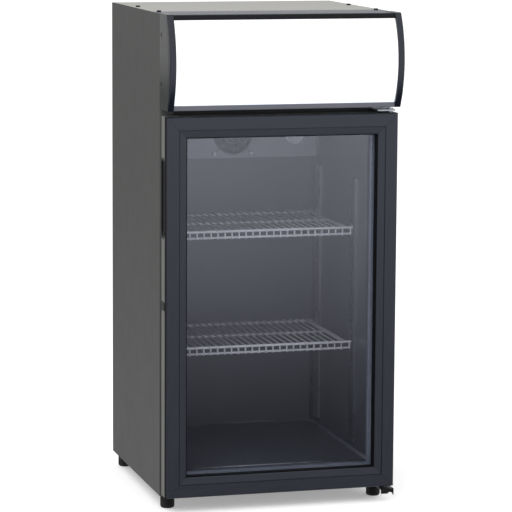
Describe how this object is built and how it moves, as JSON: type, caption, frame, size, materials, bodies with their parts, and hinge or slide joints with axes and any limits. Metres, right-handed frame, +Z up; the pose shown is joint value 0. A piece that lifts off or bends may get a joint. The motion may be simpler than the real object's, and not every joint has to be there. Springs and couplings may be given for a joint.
{
  "type": "glass door merchandiser",
  "caption": "Upright display cooler with a hinged glass door, bowed lit canopy, wire shelves, an air fan with thermostat, and cooling machinery behind the canopy.",
  "frame": {"origin": "middle of the footprint, on the floor under the feet", "axes": "+Z up, +X to the right as seen from the front, +Y to the back; the glass door faces -Y"},
  "size_m": [0.43, 0.474, 0.8977],
  "materials": {
    "case_paint": "satin olive-grey powder coat",
    "top_paint": "satin pale grey powder coat",
    "canopy_dark": "glossy blue-black",
    "opal": "opal, lit from behind",
    "door_frame": "black anodised, satin",
    "carrier_grey": "matte grey",
    "liner_grey": "moulded grey, satin",
    "cover_grey": "moulded grey, satin",
    "black_plastic": "matte black",
    "black_steel": "black paint",
    "galvanised": "zinc-plated sheet",
    "zinc": "bright zinc plate",
    "chrome_wire": "bright wire",
    "fin_aluminium": "bare fins",
    "copper": "copper tube",
    "rubber_black": "matte black rubber",
    "foam": "rigid cream foam",
    "pane": "clear double glazing",
    "spacer_metal": "matte grey spacer",
    "white_sheet": "white reflector",
    "lamp_board": "white lamp board"
  },
  "bodies": {
    "cabinet": {"side_panel_left": "case_paint", "side_panel_right": "case_paint", "back_panel": "galvanised", "base_panel": "galvanised", "top_panel": "top_paint", "machine_deck": "galvanised", "foam_insulation": "foam", "inner_liner": "liner_grey", "rubber_buffers": "rubber_black", "casing_screws": "zinc", "fan_cover": "cover_grey", "evaporator_coil": "fin_aluminium", "evaporator_fan_frame": "black_plastic", "fan_guard": "chrome_wire", "thermostat": "black_plastic", "shelf_strips": "zinc", "shelf_clips": "zinc", "drain_tube": "black_plastic", "compressor": "black_steel", "condenser_coil": "fin_aluminium", "condenser_fan_motor": "black_steel", "refrigerant_pipes": "copper", "control_box": "galvanised", "inlet_module": "black_plastic", "canopy_ends": "case_paint", "canopy_trims": "canopy_dark", "canopy_diffuser": "opal", "canopy_top_rail": "canopy_dark", "canopy_bottom_rail": "canopy_dark", "canopy_top_cover": "top_paint", "canopy_back_plate": "white_sheet", "led_strips": "lamp_board", "hinge_bracket_top": "zinc", "hinge_bracket_bottom": "black_steel", "hinge_pins": "zinc"},
    "door": {"door_stile_left": "door_frame", "door_stile_right": "door_frame", "door_rail_top": "door_frame", "door_rail_bottom": "door_frame", "door_carrier_frame": "carrier_grey", "glass_outer": "pane", "glass_inner": "pane", "glass_spacer": "spacer_metal", "glazing_seal": "rubber_black", "door_gasket": "rubber_black", "grip_cup": "black_plastic", "lock_escutcheon": "black_plastic", "hinge_bushes": "black_plastic", "closing_torsion_rod": "zinc"},
    "door_lock": {"lock_cylinder": "zinc"},
    "evaporator_fan": {"evaporator_fan_blades": "black_plastic"},
    "condenser_fan": {"condenser_fan_blades": "black_plastic"},
    "thermostat_dial": {"thermostat_knob": "chrome_wire"},
    "upper_shelf": {"shelf_upper": "chrome_wire"},
    "lower_shelf": {"shelf_lower": "chrome_wire"},
    "lamp_switch": {"light_switch_rocker": "black_plastic"},
    "levelling_foot_front_left": {"foot_front_left": "rubber_black"},
    "levelling_foot_front_right": {"foot_front_right": "rubber_black"},
    "levelling_foot_rear_left": {"foot_rear_left": "rubber_black"},
    "levelling_foot_rear_right": {"foot_rear_right": "rubber_black"}
  },
  "joints": [
    {"name": "door_swing", "type": "hinge", "parent": "cabinet", "child": "door", "pos_m": [0.205, -0.187, 0.37], "axis": [0, 0, 1], "range_deg": [0, 105], "stiffness_Nm_per_rad": 1, "springref_deg": -11.46},
    {"name": "lock_turn", "type": "hinge", "parent": "door", "child": "door_lock", "pos_m": [-0.212, -0.179, 0.3775], "axis": [1, 0, 0], "range_deg": [0, 90]},
    {"name": "evaporator_fan_spin", "type": "hinge", "parent": "cabinet", "child": "evaporator_fan", "pos_m": [-0.008, 0.121, 0.65], "axis": [0, 1, 0], "continuous": true},
    {"name": "condenser_fan_spin", "type": "hinge", "parent": "cabinet", "child": "condenser_fan", "pos_m": [-0.1, 0.012, 0.798], "axis": [0, 1, 0], "continuous": true},
    {"name": "thermostat_turn", "type": "hinge", "parent": "cabinet", "child": "thermostat_dial", "pos_m": [0.112, 0.101, 0.649], "axis": [0, -1, 0], "range_deg": [0, 270]},
    {"name": "shelf_upper_lift", "type": "slide", "parent": "cabinet", "child": "upper_shelf", "axis": [0, 0, 1], "range_m": [0, 0.03]},
    {"name": "shelf_lower_lift", "type": "slide", "parent": "cabinet", "child": "lower_shelf", "axis": [0, 0, 1], "range_m": [0, 0.03]},
    {"name": "lamp_switch_rock", "type": "hinge", "parent": "cabinet", "child": "lamp_switch", "pos_m": [0.178, 0.226, 0.761], "axis": [1, 0, 0], "range_deg": [-8, 8]},
    {"name": "foot_front_left_turn", "type": "hinge", "parent": "cabinet", "child": "levelling_foot_front_left", "pos_m": [-0.196, -0.141, 0], "axis": [0, 0, 1], "continuous": true},
    {"name": "foot_front_right_turn", "type": "hinge", "parent": "cabinet", "child": "levelling_foot_front_right", "pos_m": [0.196, -0.141, 0], "axis": [0, 0, 1], "continuous": true},
    {"name": "foot_rear_left_turn", "type": "hinge", "parent": "cabinet", "child": "levelling_foot_rear_left", "pos_m": [-0.196, 0.206, 0], "axis": [0, 0, 1], "continuous": true},
    {"name": "foot_rear_right_turn", "type": "hinge", "parent": "cabinet", "child": "levelling_foot_rear_right", "pos_m": [0.196, 0.206, 0], "axis": [0, 0, 1], "continuous": true}
  ]
}
